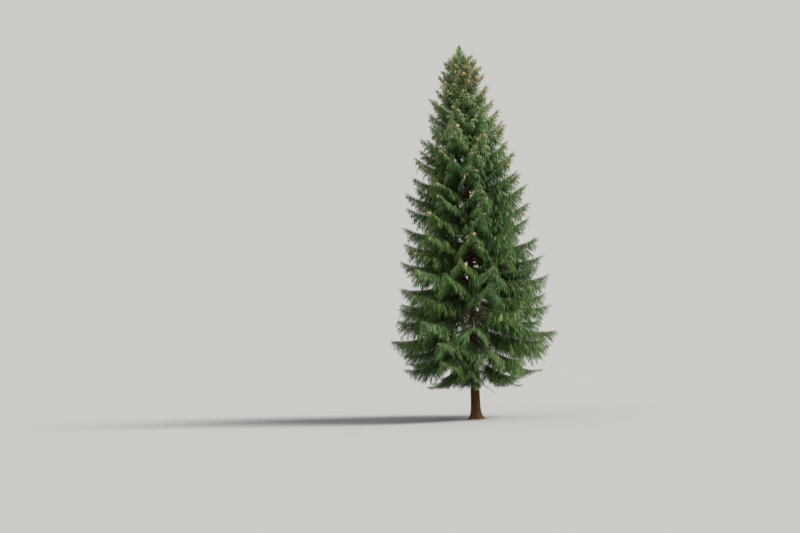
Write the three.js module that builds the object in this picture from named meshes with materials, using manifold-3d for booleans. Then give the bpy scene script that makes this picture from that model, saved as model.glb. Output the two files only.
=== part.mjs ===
// A Norway spruce that stands in a meadow, full from the ground up on every side.
// Millimetres, +Z up. The origin is the middle of the flat cut at ground level.
//
// One rule places every bough: whorls climb the trunk, each turned against the one below, and a
// bough's length comes from the outline of the crown at the height of its tip. One bough of each
// whorl is kept, so the kept ones wind up the trunk by the golden angle.
// The lowest boughs are limbs of their own, and each mass of needles starts where its limb ends.
// Higher up, a mass starts at the trunk itself.
import * as THREE from "three";
import { mergeVertices } from "three/addons/utils/BufferGeometryUtils.js";
import Module from "manifold-3d";

const wasm = await Module();
wasm.setup();

// The whole tree
const HEIGHT = 22000; // ground to the tip of the leading shoot
const REACH = 4700; // from the trunk's axis to the tips, where the crown is widest
const WIDEST = 0.72; // share of the height that lies above that widest place
const CONE_POWER = 0.6; // under 1 the outline bulges, as it does on a tree in the open
const TUCK_START = 0.74; // share of the height below the tip at which the crown draws in again
const TUCK_LENGTH = 0.22;
const LEAST_TUCK = 0.35; // what is left of its radius at the least

// The trunk
const TRUNK_RADIUS = 270; // at the ground, without the root flare
const TAPER_POWER = 0.85;
const TIP_RADIUS = 9;
const FLARE = 235; // what the roots add to the radius at the ground
const FLARE_HEIGHT = 230; // height over which that falls to about a third
const ROOT_LOBES = 5;
const LOBE_SHARE = 0.28; // how deep the flare is folded between two roots
const SWEEP = 90; // the trunk bows towards +X by this much at mid-height
const TRUNK_SIDES = 12;
const TRUNK_STEPS = 14;
const STEP_POWER = 2.2; // the trunk's rings lie closer together near the ground

// The whorls
const WHORLS = 44; // on the whole tree
const BOUGHS_PER_WHORL = 4; // this model keeps one of them in each whorl, the next one each time
const GOLDEN_TURN = Math.PI * (3 - Math.sqrt(5));
const WHORL_TURN = GOLDEN_TURN - (2 * Math.PI) / BOUGHS_PER_WHORL; // so kept boughs spread evenly
const LOWEST_WHORL = 3000; // height of the lowest boughs' roots
const WHORL_SPAN = 17600; // from there up to the last whorl
const SPAN_POWER = 1.15; // over 1 the whorls crowd together towards the top
const TURN_PLAY = 0.22; // radians that a bough may stray sideways
const ROOT_PLAY = 120; // how far its root may stray up or down
const CLIMB_PLAY = 0.06; // how much steeper or flatter it may climb
const REACH_PLAY = 0.07; // share of its length that its tip may stray
const CURL = 0.1; // how far a bough bends sideways, as a share of its length
const LIMBS = 12; // the lowest boughs, which show as bare limbs

// How a bough climbs, sags and lifts, for the lowest whorl and for the last
const LOW_SHARE = LOWEST_WHORL / HEIGHT;
const HIGH_SHARE = (LOWEST_WHORL + WHORL_SPAN) / HEIGHT;
const RISE = [-0.38, 0.95];
const SAG = [-0.4, -0.05];
const LIFT = [0.42, 0.1];

// How strongly its sprays hang, and how far its space lies under it as a share of its length
const DROOP = [0.45, -0.1];
const HANG = [0.12, 0];

// Wood
const BARE_SHARE = 0.36; // part of a limb, from the trunk's axis, that carries no needles
const LIMB_THICKNESS = 0.019; // radius of a bough at its root, as a share of its length
const LIMB_TIP_SHARE = 0.55; // of that radius, left where the limb enters its mass
const STEM_TIP_RADIUS = 9;
const STEM_END = 0.9; // place on the bough's line where the stem ends inside the last spray
const LIMB_SIDES = 6;
const LIMB_STEPS = 2;
const STEM_SIDES = 3;
const STEM_STEPS = 3;
const GAP = 0.4; // clearance between two solids that touch on the real tree
const STEM_CLEARANCE = 0.6; // the same between a limb's end and the stem of its mass
const SLIVERS = [0.05, 0.1, 0.2, 0.02]; // surfaces may move by the first that leaves them sound
const COARSE = 1; // and by this where sprays and stems run into each other

// The core inside a mass
const CORES = 36; // the masses above these are open, and have no core
const CORE_START = 0.14; // on the line of a bough that starts at the trunk
const CORE_INSET = 0.02; // and this far past the start of a mass on a limb
const CORE_END = 0.92;
const SPACE_WIDTH = 0.32; // how far a mass may fill its space, as a share of the bough's length
const SPACE_EXTRA = 150; // and this much more
const SPACE_STEPS = [1, 0.9, 0.8, 0.7, 0.6, 0.5, 0.4, 0.3]; // shares of it that are tried in turn
const CORE_SHARE = 0.55; // of that space, filled by the core

// The sprays of needles on a mass
const SPRAYS_BASE = 3.5; // this many, and more with the bough's length in metres
const SPRAYS_PER_METRE = 1.75;
const SPRAY_START = 0.06; // how far past the start of its mass the first may stand
const SPRAY_END = 0.93;
const TIP_SPRAY_ROOT = 0.78; // where the spray that makes the bough's tip starts
const ROLLS = [0, 1, -0.5, 0.12, 0.88, -0.25, -0.75, 0.5]; // half turns from level on one side
const ROLL_PLAY = 0.35;
const SPRAY_BASE = 600; // length of a spray, and more with the bough's length
const SPRAY_SHARE = 0.4;
const SPRAY_TIP_SHARE = 0.5; // of that length, left at the bough's tip
const LENGTH_PLAY = 0.15;
const SPRAY_WIDTH = 0.55; // width over length
const SPRAY_THICKNESS = 0.05;
const TWIST = 0.6; // radians that sprays are turned about their own length, one way and the other
const LEAN = [1.15, 0.6]; // radians between a spray and its bough, at the trunk and at the tip
const SHORTER = [1, 0.8, 0.62, 0.46]; // lengths that are tried before a spray is left out
const NEIGHBOUR_GAP = 30; // least room between a spray and the next mass's space
const OUTLINE_PLAY = 1.08; // how far sprays may reach, over the crown's radius at their height

// The mass round the leading shoot
const LEADER_FOOT = 20900;
const LEADER_END = 21800;
const LEADER_RADIUS = [130, 30]; // of its core, at the foot and at the end
const LEADER_SIDES = 6;
const LEADER_SPACE = 350; // how far above the foot its space starts
const LEADER_SPRAYS = 10;
const LEADER_SPRAY_LENGTH = [950, 330];
const LEADER_CLIMB = [0.6, 1.15]; // radians above level
const LEADER_MARGIN = [60, 150]; // from the ends of the core to the first and last sprays

// The cones, which hang in twos and threes and stand here as one
const CONE_LENGTH = 230;
const CONE_RADIUS = 42;
const CONE_FOOT = 14000; // cones hang only from boughs above this height
const CONE_PLACES = [0.55, 0.72, 0.9];

const UP = new THREE.Vector3(0, 0, 1);
const TAU = 2 * Math.PI;
const blend = THREE.MathUtils.lerp;

const bark = new THREE.MeshStandardMaterial({ color: 0x5a4230, roughness: 0.95, metalness: 0 });
const needles = new THREE.MeshStandardMaterial({ color: 0x35482b, roughness: 0.8, metalness: 0 });

// A repeatable value from -1 to 1 for three numbers.
function noise(a, b, c) {
  const wave = Math.sin(a * 12.9898 + b * 78.233 + c * 37.719) * 43758.5453;
  return 2 * (wave - Math.floor(wave)) - 1;
}

// The radius of the crown's outline at a height.
function crownRadius(z) {
  const below = 1 - z / HEIGHT;
  const cone = Math.min(1, Math.max(0, below / WIDEST)) ** CONE_POWER;
  const tuck = Math.max(0, below - TUCK_START) / TUCK_LENGTH;
  return REACH * cone * Math.max(LEAST_TUCK, Math.sqrt(Math.max(0, 1 - tuck * tuck)));
}

function trunkRadius(z) {
  return TIP_RADIUS + (TRUNK_RADIUS - TIP_RADIUS) * Math.max(0, 1 - z / HEIGHT) ** TAPER_POWER;
}

function trunkAxis(z) {
  return new THREE.Vector3(SWEEP * Math.sin((Math.PI * z) / HEIGHT), 0, z);
}

// A closed solid from a geometry of three.js, whose shared corners are merged first.
function solidOf(geometry) {
  geometry.deleteAttribute("normal");
  geometry.deleteAttribute("uv");
  const merged = mergeVertices(geometry, 1e-3);
  const mesh = new wasm.Mesh({
    numProp: 3,
    vertProperties: new Float32Array(merged.attributes.position.array),
    triVerts: new Uint32Array(merged.index.array),
  });
  return new wasm.Manifold(mesh);
}

function geometryOf(solid) {
  const mesh = solid.getMesh();
  const corners = new Float32Array(mesh.numVert * 3);
  for (let i = 0; i < mesh.numVert; i++)
    corners.set(mesh.vertProperties.subarray(i * mesh.numProp, i * mesh.numProp + 3), i * 3);
  return new THREE.BufferGeometry()
    .setAttribute("position", new THREE.BufferAttribute(corners, 3))
    .setIndex(new THREE.BufferAttribute(mesh.triVerts, 1));
}

// Moves each corner of a round geometry of three.js, whose axis is Y, to place(x, share, z).
function shaped(geometry, place) {
  const corners = geometry.attributes.position;
  geometry.computeBoundingBox();
  const { min, max } = geometry.boundingBox;
  for (let i = 0; i < corners.count; i++) {
    const share = (corners.getY(i) - min.y) / (max.y - min.y);
    const point = place(corners.getX(i), share, corners.getZ(i));
    corners.setXYZ(i, point.x, point.y, point.z);
  }
  return solidOf(geometry);
}

// The trunk, or the trunk grown outwards by extra.
function trunkSolid(extra) {
  const rod = new THREE.CylinderGeometry(1, 1, 1, TRUNK_SIDES, TRUNK_STEPS);
  return shaped(rod, (x, share, z) => {
    const height = HEIGHT * share ** STEP_POWER;
    const lobes = 1 + LOBE_SHARE * Math.cos(ROOT_LOBES * Math.atan2(x, z));
    const radius = trunkRadius(height) + FLARE * lobes * Math.exp(-height / FLARE_HEIGHT) + extra;
    return trunkAxis(height).add(new THREE.Vector3(z * radius, x * radius, 0));
  });
}

// A bough's line from the trunk's axis, at 0, to its tip, at 1. High boughs climb, and low ones sag
// under their weight and lift again towards the tip.
class BoughLine extends THREE.Curve {
  constructor(whorl, number) {
    super();
    this.key = whorl * BOUGHS_PER_WHORL + number;
    const stray = (salt) => noise(whorl, number, salt);
    const azimuth = whorl * WHORL_TURN + (number * TAU) / BOUGHS_PER_WHORL + TURN_PLAY * stray(1);
    this.outward = new THREE.Vector3(Math.cos(azimuth), Math.sin(azimuth), 0);
    this.sideways = new THREE.Vector3(-Math.sin(azimuth), Math.cos(azimuth), 0);
    const climbed = 1 - (1 - whorl / WHORLS) ** SPAN_POWER;
    this.rootHeight = LOWEST_WHORL + WHORL_SPAN * climbed + ROOT_PLAY * stray(2);
    const between = ([low, high]) =>
      THREE.MathUtils.mapLinear(this.rootHeight / HEIGHT, LOW_SHARE, HIGH_SHARE, low, high);
    this.rise = between(RISE) + CLIMB_PLAY * stray(3);
    this.sag = between(SAG);
    this.lift = between(LIFT);
    this.droop = between(DROOP);
    this.hang = between(HANG);
    this.curl = CURL * stray(4);
    this.reach = REACH;
    for (let i = 0; i < 30; i++)
      this.reach = blend(this.reach, crownRadius(this.getPoint(1).z), 0.4);
    this.reach *= 1 + REACH_PLAY * stray(5);
  }

  getPoint(t, target = new THREE.Vector3()) {
    const climb = this.rise * t + this.sag * t * t + this.lift * t * t * t;
    return target
      .copy(trunkAxis(this.rootHeight))
      .addScaledVector(this.outward, this.reach * t)
      .addScaledVector(this.sideways, this.reach * this.curl * t * t)
      .addScaledVector(UP, this.reach * climb);
  }

  // The directions along the bough, level across it, and upwards from it.
  axes(t) {
    const along = this.getTangent(t);
    const side = new THREE.Vector3().crossVectors(along, UP).normalize();
    const over = new THREE.Vector3().crossVectors(side, along);
    return { along, side, over };
  }

  // A point beside the line, by how far it lies across and upwards.
  beside(t, across, upwards) {
    const { side, over } = this.axes(t);
    return this.getPoint(t).addScaledVector(side, across).addScaledVector(over, upwards);
  }

  radius(t) {
    const root = LIMB_THICKNESS * this.reach + STEM_TIP_RADIUS;
    if (t < BARE_SHARE) return root * blend(1, LIMB_TIP_SHARE, t / BARE_SHARE);
    return blend(root * LIMB_TIP_SHARE, STEM_TIP_RADIUS, (t - BARE_SHARE) / (1 - BARE_SHARE));
  }
}

// The wood of a bough between two places on its line.
function woodSolid(line, from, to, sides, steps) {
  const rod = new THREE.CylinderGeometry(1, 1, 1, sides, steps);
  return shaped(rod, (x, share, z) => {
    const t = blend(from, to, share);
    const radius = line.radius(t);
    return line.beside(t, x * radius, z * radius);
  });
}

// The outline of a spray of needles, toothed like a feather: places along it and across it.
const TOOTHED = [
  [0, 0],
  [0.58, 0.5],
  [0.62, 0.24],
  [1, 0],
  [0.62, -0.24],
  [0.58, -0.5],
];
const RIDGE = 0.4; // where along the spray it is thickest

// The corners of a spray: its rim, and then the peak of each face.
function sprayCorners(root, along, face, length) {
  const across = new THREE.Vector3().crossVectors(face, along).normalize();
  const over = new THREE.Vector3().crossVectors(along, across);
  const at = (x, y, z) =>
    root
      .clone()
      .addScaledVector(along, x * length)
      .addScaledVector(across, y * SPRAY_WIDTH * length)
      .addScaledVector(over, z * length);
  const peaks = [SPRAY_THICKNESS / 2, -SPRAY_THICKNESS / 2];
  return [...TOOTHED.map(([x, y]) => at(x, y, 0)), ...peaks.map((z) => at(RIDGE, 0, z))];
}

// A thin closed solid from its corners.
function spraySolid(corners) {
  const rim = TOOTHED.length;
  const faces = TOOTHED.flatMap((_, i) => {
    const next = (i + 1) % rim;
    return [i, next, rim + 1, i, rim, next];
  });
  return solidOf(new THREE.BufferGeometry().setFromPoints(corners).setIndex(faces));
}

// A cone that hangs from a point.
function coneSolid(top) {
  const spindle = new THREE.OctahedronGeometry(1);
  return shaped(spindle, (x, share, z) =>
    top.clone().add(new THREE.Vector3(x * CONE_RADIUS, z * CONE_RADIUS, (share - 1) * CONE_LENGTH)),
  );
}

// True if every edge of a solid joins exactly two faces.
function isSound(solid) {
  const corners = mergeVertices(geometryOf(solid), 1e-3).index.array;
  const uses = new Map();
  corners.forEach((corner, i) => {
    const next = corners[i % 3 === 2 ? i - 2 : i + 1];
    const edge = [Math.min(corner, next), Math.max(corner, next)].join();
    uses.set(edge, (uses.get(edge) ?? 0) + 1);
  });
  return [...uses.values()].every((count) => count === 2);
}

// The outer skin of a solid as one body: loose scraps and sealed hollows are dropped. Slivers are
// smoothed away and corners that lie almost together are merged first.
function outerBody(solid) {
  const bodies = SLIVERS.map((sliver) => {
    const rounded = solidOf(geometryOf(solid.simplify(sliver)));
    return rounded.decompose().reduce((a, b) => (a.volume() > b.volume() ? a : b));
  });
  return bodies.find(isSound);
}

// The middle of each mass's space, as points along its bough and a little under it.
function spaceOf(line) {
  const lowered = (t) => line.getPoint(t).addScaledVector(UP, -line.hang * line.reach * t);
  return Array.from({ length: 9 }, (_, i) => lowered(blend(0.05, 1, i / 8)));
}

// How far a point lies from a row of points joined by straight lines.
function distanceTo(row, point) {
  const nearest = new THREE.Vector3();
  const steps = row.slice(1).map((end, i) => {
    new THREE.Line3(row[i], end).closestPointToPoint(point, true, nearest);
    return nearest.distanceTo(point);
  });
  return Math.min(...steps);
}

// True if a point is in the mass's own space: nearer to its own line than to any other's, clear of
// the trunk, and not far outside the crown's outline.
function isOwn(mass, point) {
  const off = point.clone().sub(trunkAxis(point.z)).setZ(0).length();
  if (off < trunkRadius(point.z) + NEIGHBOUR_GAP) return false;
  if (off > OUTLINE_PLAY * crownRadius(point.z) || point.z > HEIGHT) return false;
  const own = distanceTo(mass.space, point) + NEIGHBOUR_GAP;
  return mass.neighbours.every((other) => distanceTo(other.space, point) > own);
}

// The core inside a mass, pointed at both ends, from which the sprays stand out. It fills a share of
// the mass's own space.
function coreSolid(mass, from, to) {
  const { line } = mass;
  const widest = SPACE_WIDTH * line.reach + SPACE_EXTRA;
  return shaped(new THREE.SphereGeometry(1, 4, 3), (x, share, z) => {
    const t = blend(from, to, share);
    const free = SPACE_STEPS.map((step) => step * widest).find((width) =>
      isOwn(mass, line.beside(t, x * width, z * width)),
    );
    const width = CORE_SHARE * (free ?? 0);
    return line.beside(t, x * width, z * width);
  });
}

// The longest spray from a root that stays in the mass's own space, or nothing.
function fittingSpray(mass, root, along, face, length) {
  for (const share of SHORTER) {
    const corners = sprayCorners(root, along, face, length * share);
    const outer = corners.slice(1);
    const between = outer.map((corner, i) => corner.clone().lerp(outer[(i + 1) % outer.length], 0.5));
    if ([...outer, ...between].every((point) => isOwn(mass, point))) return [spraySolid(corners)];
  }
  return [];
}

// The sprays of a mass: to each side, downwards and upwards in turn, leaning outwards and hanging.
function spraySolids(mass) {
  const { line, from } = mass;
  const count = Math.round(SPRAYS_BASE + (SPRAYS_PER_METRE * line.reach) / 1000);
  const sprays = Array.from({ length: count }, (_, i) => {
    const t = blend(Math.max(from, CORE_START) + SPRAY_START, SPRAY_END, (i + 0.5) / count);
    const roll = ROLLS[i % ROLLS.length] * Math.PI + ROLL_PLAY * noise(line.key, i, 6);
    const { along, side, over } = line.axes(t);
    const lean = blend(...LEAN, t);
    const radial = side.clone().multiplyScalar(Math.cos(roll)).addScaledVector(over, Math.sin(roll));
    const direction = along
      .clone()
      .multiplyScalar(Math.cos(lean))
      .addScaledVector(radial, Math.sin(lean))
      .addScaledVector(UP, -line.droop)
      .normalize();
    const upright = Math.abs(direction.z);
    const face = over.clone().multiplyScalar(1 - upright).addScaledVector(side, upright);
    face.applyAxisAngle(direction, i % 2 ? TWIST : -TWIST);
    const full = (SPRAY_BASE + SPRAY_SHARE * line.reach) * blend(1, SPRAY_TIP_SHARE, t);
    const length = full * (1 + LENGTH_PLAY * noise(line.key, i, 7));
    return fittingSpray(mass, line.getPoint(t), direction, face, length);
  });
  return [...sprays.flat(), tipSpray(line)];
}

// The spray that makes a bough's tip.
function tipSpray(line) {
  const root = line.getPoint(TIP_SPRAY_ROOT);
  const last = line.getPoint(1).sub(root);
  const { over } = line.axes(TIP_SPRAY_ROOT);
  return spraySolid(sprayCorners(root, last.clone().normalize(), over, last.length()));
}

function coneSolids(mass) {
  if (mass.line.rootHeight < CONE_FOOT) return [];
  const tops = CONE_PLACES.map((t) => mass.line.getPoint(t));
  return tops
    .filter((top) => isOwn(mass, top.clone().addScaledVector(UP, -CONE_LENGTH)))
    .map((top) => coneSolid(top));
}

function massSolid(mass, grownTrunk) {
  const { line, from } = mass;
  const stem = woodSolid(line, from, STEM_END, STEM_SIDES, STEM_STEPS);
  const core = coreSolid(mass, Math.max(from + CORE_INSET, CORE_START), CORE_END);
  const cores = mass.hasCore ? [core] : [];
  const parts = [stem, ...cores, ...spraySolids(mass), ...coneSolids(mass)];
  return outerBody(wasm.Manifold.union(parts).simplify(COARSE).subtract(grownTrunk));
}

// The mass round the leading shoot: a slim sleeve with sprays that climb steeply.
function leaderSolid(leader, grownTrunk) {
  const rod = new THREE.CylinderGeometry(1, 1, 1, LEADER_SIDES, 1);
  const core = shaped(rod, (x, share, z) => {
    const radius = blend(...LEADER_RADIUS, share);
    const middle = trunkAxis(blend(LEADER_FOOT, LEADER_END, share));
    return middle.add(new THREE.Vector3(z * radius, x * radius, 0));
  });
  const [first, last] = [LEADER_FOOT + LEADER_MARGIN[0], LEADER_END - LEADER_MARGIN[1]];
  const sprays = Array.from({ length: LEADER_SPRAYS }, (_, i) => {
    const share = (i + 0.5) / LEADER_SPRAYS;
    const level = new THREE.Vector3(Math.cos(i * GOLDEN_TURN), Math.sin(i * GOLDEN_TURN), 0);
    const climb = blend(...LEADER_CLIMB, share);
    const direction = level.clone().multiplyScalar(Math.cos(climb));
    direction.addScaledVector(UP, Math.sin(climb));
    const height = blend(first, last, share);
    const root = trunkAxis(height).addScaledVector(level, trunkRadius(height) + NEIGHBOUR_GAP);
    const face = new THREE.Vector3().crossVectors(direction, level.clone().cross(UP));
    return fittingSpray(leader, root, direction, face, blend(...LEADER_SPRAY_LENGTH, share));
  });
  return outerBody(wasm.Manifold.union([core, ...sprays.flat()]).subtract(grownTrunk));
}

const tree = new THREE.Group();

function addMesh(name, solid, material) {
  const mesh = new THREE.Mesh(geometryOf(solid), material);
  mesh.name = name;
  tree.add(mesh);
}

const masses = Array.from({ length: WHORLS }, (_, whorl) => {
  const line = new BoughLine(whorl, whorl % BOUGHS_PER_WHORL);
  const hasLimb = whorl < LIMBS;
  const from = hasLimb ? BARE_SHARE + STEM_CLEARANCE / line.reach : 0;
  return { label: whorl + 1, line, from, hasLimb, hasCore: whorl < CORES, space: spaceOf(line) };
});
const leader = { space: [LEADER_FOOT + LEADER_SPACE, HEIGHT].map((z) => trunkAxis(z)) };
const spaces = [...masses, leader];
for (const mass of spaces) mass.neighbours = spaces.filter((other) => other !== mass);

const grownTrunk = trunkSolid(GAP);
addMesh("trunk", trunkSolid(0), bark);
for (const mass of masses) {
  if (mass.hasLimb) {
    const limb = woodSolid(mass.line, 0, BARE_SHARE, LIMB_SIDES, LIMB_STEPS).subtract(grownTrunk);
    addMesh(`bough_${mass.label}`, outerBody(limb), bark);
  }
  addMesh(`needles_${mass.label}`, massSolid(mass, grownTrunk), needles);
}
addMesh("needles_leader", leaderSolid(leader, grownTrunk), needles);

export default tree;
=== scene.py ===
import math

import bpy
import numpy as np
from mathutils import Matrix, Vector, noise


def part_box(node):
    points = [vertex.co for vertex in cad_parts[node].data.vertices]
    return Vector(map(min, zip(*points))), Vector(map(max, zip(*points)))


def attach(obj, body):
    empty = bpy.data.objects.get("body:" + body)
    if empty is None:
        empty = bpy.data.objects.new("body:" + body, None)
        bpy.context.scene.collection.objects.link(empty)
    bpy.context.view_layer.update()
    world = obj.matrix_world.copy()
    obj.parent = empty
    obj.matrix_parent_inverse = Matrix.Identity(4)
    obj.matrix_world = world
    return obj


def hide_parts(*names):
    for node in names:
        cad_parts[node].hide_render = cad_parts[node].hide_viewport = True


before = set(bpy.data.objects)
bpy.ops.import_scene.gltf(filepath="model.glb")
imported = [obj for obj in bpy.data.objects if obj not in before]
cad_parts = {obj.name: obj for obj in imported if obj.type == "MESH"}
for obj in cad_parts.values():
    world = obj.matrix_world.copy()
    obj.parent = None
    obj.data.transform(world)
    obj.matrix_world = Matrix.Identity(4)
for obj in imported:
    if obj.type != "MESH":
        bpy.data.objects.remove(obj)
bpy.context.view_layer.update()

# The trunk is one grown stem of wood, from its flare over five roots to the leading shoot. Its bark
# is thin and reddish brown, and cracks into small scales that are longer than they are wide.
TREE_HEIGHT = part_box("trunk")[1].z
TRUNK_RADIUS = 0.27
TAPER_POWER = 0.85
TIP_RADIUS = 0.009
FLARE = 0.235
FLARE_HEIGHT = 0.23
ROOT_LOBES = 5
LOBE_SHARE = 0.28
SWEEP = 0.09
TRUNK_SIDES = 128
TRUNK_CUTS = (20, 19)
RING_POWER = 2.2
SAME_HEIGHT = 1e-4
SCALE_SIZE = 0.05
SCALE_STRETCH = 2.2
SCALE_DEPTH = 0.011
SCALE_LEVEL = 0.8
CRACK_STEEPNESS = 2.6
ROUGH_FINENESS = 2.3
ROUGH_FRACTAL = (0.9, 2.0, 3)
ROUGH_SHARE = 0.35
THIN_BARK = 0.05
THICK_BARK = 1.3


def trunk_radius(z):
    return TIP_RADIUS + (TRUNK_RADIUS - TIP_RADIUS) * np.maximum(0, 1 - z / TREE_HEIGHT) ** TAPER_POWER


def trunk_bow(z):
    return SWEEP * np.sin(np.pi * z / TREE_HEIGHT)


def round_trunk(turn, radius, height):
    """Points at a turn and a distance from the trunk's axis, and at a height."""
    return np.stack([np.cos(turn) * radius + trunk_bow(height), np.sin(turn) * radius, height], axis=1)


def bark_relief(point):
    """From 0 in a crack to 1 on a scale of bark, at a point of the trunk, with a little roughness."""
    place = Vector((point[0], point[1], point[2] / SCALE_STRETCH)) / SCALE_SIZE
    nearest, second = noise.voronoi(place)[0][:2]
    rough = noise.fractal(place * ROUGH_FINENESS, *ROUGH_FRACTAL)
    return min(1, CRACK_STEEPNESS * (second - nearest)) + ROUGH_SHARE * rough


def corners_of(piece):
    """The corners of a mesh, one row each."""
    mesh = piece.data
    corners = np.empty(len(mesh.vertices) * 3)
    mesh.vertices.foreach_get("co", corners)
    return corners.reshape(-1, 3)


def set_corners(piece, corners):
    piece.data.vertices.foreach_set("co", np.ravel(corners))
    piece.data.update()


def divide_lengthwise(cuts):
    """Cuts the upright edges of the mesh in edit mode into shorter ones, so that it gets more rings."""
    mesh = bpy.context.object.data
    bpy.ops.mesh.select_mode(type="EDGE")
    bpy.ops.mesh.select_all(action="DESELECT")
    bpy.ops.object.mode_set(mode="OBJECT")
    for edge in mesh.edges:
        low, high = (mesh.vertices[i].co.z for i in edge.vertices)
        edge.select = abs(high - low) > SAME_HEIGHT
    bpy.ops.object.mode_set(mode="EDIT")
    bpy.ops.mesh.subdivide(number_cuts=cuts)


def rod(name, sides, *cuts):
    """A round bar of radius 1 that stands on the origin and is 1 tall, with rings for bending it."""
    bpy.ops.object.select_all(action="DESELECT")
    bpy.ops.mesh.primitive_cylinder_add(vertices=sides, radius=1, depth=1, location=(0, 0, 0.5))
    bpy.ops.object.transform_apply(location=True)
    bpy.ops.object.mode_set(mode="EDIT")
    for cut in cuts:
        divide_lengthwise(cut)
    bpy.ops.object.mode_set(mode="OBJECT")
    bpy.context.object.name = name
    return bpy.context.object


trunk = rod("trunk_bark", TRUNK_SIDES, *TRUNK_CUTS)
unit = corners_of(trunk)
turn = np.arctan2(unit[:, 1], unit[:, 0])
height = TREE_HEIGHT * unit[:, 2] ** RING_POWER
lobes = 1 + LOBE_SHARE * np.cos(ROOT_LOBES * turn)
radius = trunk_radius(height) + FLARE * lobes * np.exp(-height / FLARE_HEIGHT)
relief = np.array([bark_relief(point) for point in round_trunk(turn, radius, height)])
thickness = np.clip(radius / TRUNK_RADIUS, THIN_BARK, THICK_BARK)
radius += SCALE_DEPTH * thickness * (relief - SCALE_LEVEL)
set_corners(trunk, round_trunk(turn, radius, height))


class Value:
    """A number worked out at each point of a surface. Sums and products of values add their nodes."""

    def __init__(self, finish, socket):
        self.finish = finish
        self.socket = socket

    def maths(self, operation, *numbers):
        return self.finish.node("ShaderNodeMath", {"operation": operation}, dict(enumerate(numbers)))

    def __add__(self, other):
        return self.maths("ADD", self, other)

    __radd__ = __add__

    def __mul__(self, other):
        return self.maths("MULTIPLY", self, other)

    __rmul__ = __mul__

    def __sub__(self, other):
        return self.maths("SUBTRACT", self, other)

    def __rsub__(self, other):
        return self.maths("SUBTRACT", other, self)

    def rising(self, low, high):
        """0 below low, 1 above high and smooth between them."""
        limits = {"Value": self, "From Min": low, "From Max": high}
        return self.finish.node("ShaderNodeMapRange", {"interpolation_type": "SMOOTHSTEP"}, limits)


class Finish:
    """The material of a piece, whose nodes are added one by one and end at its surface."""

    def __init__(self, name, roughness):
        self.material = bpy.data.materials.new(name)
        self.material.use_nodes = True
        self.tree = self.material.node_tree
        self.surface = self.tree.nodes["Principled BSDF"]
        self.surface.inputs["Roughness"].default_value = roughness
        self.place = self.node("ShaderNodeTexCoord", {}, {}, "Object")

    def node(self, kind, settings, inputs, output=0):
        made = self.tree.nodes.new(kind)
        for setting, choice in settings.items():
            setattr(made, setting, choice)
        for name, given in inputs.items():
            self.feed(made.inputs[name], given)
        return Value(self, made.outputs[output])

    def feed(self, socket, given):
        if isinstance(given, Value):
            self.tree.links.new(given.socket, socket)
        else:
            socket.default_value = given

    def show(self, name, given):
        self.feed(self.surface.inputs[name], given)

    def mix(self, share, first, second):
        """A colour between two others."""
        inputs = {0: share, 6: first, 7: second}
        return self.node("ShaderNodeMix", {"data_type": "RGBA"}, inputs, 2)

    def squeezed(self, *scale):
        """The place on the piece, for a pattern that is drawn out along it."""
        return self.node("ShaderNodeMapping", {}, {"Vector": self.place, "Scale": scale})

    def blotches(self, scale, detail, place=None):
        """A cloudy pattern from 0 to 1."""
        inputs = {"Vector": place or self.place, "Scale": scale, "Detail": detail}
        return self.node("ShaderNodeTexNoise", {}, inputs)

    def to_crack(self, scale, place):
        """How far a point is from the nearest crack between scales."""
        inputs = {"Vector": place, "Scale": scale}
        return self.node("ShaderNodeTexVoronoi", {"feature": "DISTANCE_TO_EDGE"}, inputs, "Distance")

    def bump(self, height, distance, strength=1.0):
        inputs = {"Height": height, "Distance": distance, "Strength": strength}
        self.show("Normal", self.node("ShaderNodeBump", {}, inputs))


RED_BARK = (0.120, 0.043, 0.012, 1)
GREY_BARK = (0.048, 0.028, 0.010, 1)
GREEN_BARK = (0.042, 0.036, 0.009, 1)
DUSTY_BARK = (0.220, 0.120, 0.045, 1)
CRACK = (0.014, 0.007, 0.003, 1)
BARK_SHINE = 0.2
WANDER_SCALE = 14
WANDER_DETAIL = 3
CRACK_WANDER = (0.12, 0.12, 0.12)
CRACK_WIDTH = 0.12
CRACK_DARKNESS = 0.85
GRAIN = {"scale": 75, "detail": 5}
GRAIN_RELIEF = 0.5
STREAKS = {"scale": 11, "detail": 3}
STREAK_STRETCH = 0.12
STREAK_LEVELS = (0.40, 0.60)
MOSS = {"scale": 1.1, "detail": 4}
MOSS_LEVELS = (0.52, 0.72)
MOSS_SHARE = 0.7
SHADED_HEIGHTS = (2, 7)
SHADED_SHARE = 0.35
FOOT_HEIGHTS = (0.2, 1.7)
DUST_LEVELS = (0.35, 0.7)
DUST_ALL_OVER = 0.25
DUST_AT_FOOT = 0.4
BARK_BUMP = {"distance": 0.006, "strength": 0.8}

bark = Finish("spruce_bark", roughness=0.95)
bark.show("Specular IOR Level", BARK_SHINE)
upright = bark.squeezed(1, 1, 1 / SCALE_STRETCH)
wander = bark.node(
    "ShaderNodeTexNoise", {}, {"Vector": upright, "Scale": WANDER_SCALE, "Detail": WANDER_DETAIL},
    "Color")
strayed = bark.node(
    "ShaderNodeVectorMath", {"operation": "MULTIPLY_ADD"}, {0: wander, 1: CRACK_WANDER, 2: upright})
crack = 1 - bark.to_crack(1 / SCALE_SIZE, strayed).rising(0.0, CRACK_WIDTH)
grain = bark.blotches(**GRAIN, place=upright)
streaks = bark.blotches(**STREAKS, place=bark.squeezed(1, 1, STREAK_STRETCH))
moss = bark.blotches(**MOSS)
above_ground = bark.node("ShaderNodeSeparateXYZ", {}, {"Vector": bark.place}, "Z")
shaded = above_ground.rising(*SHADED_HEIGHTS) * SHADED_SHARE
plate = bark.mix(streaks.rising(*STREAK_LEVELS) * (1 - shaded) + shaded, RED_BARK, GREY_BARK)
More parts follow.
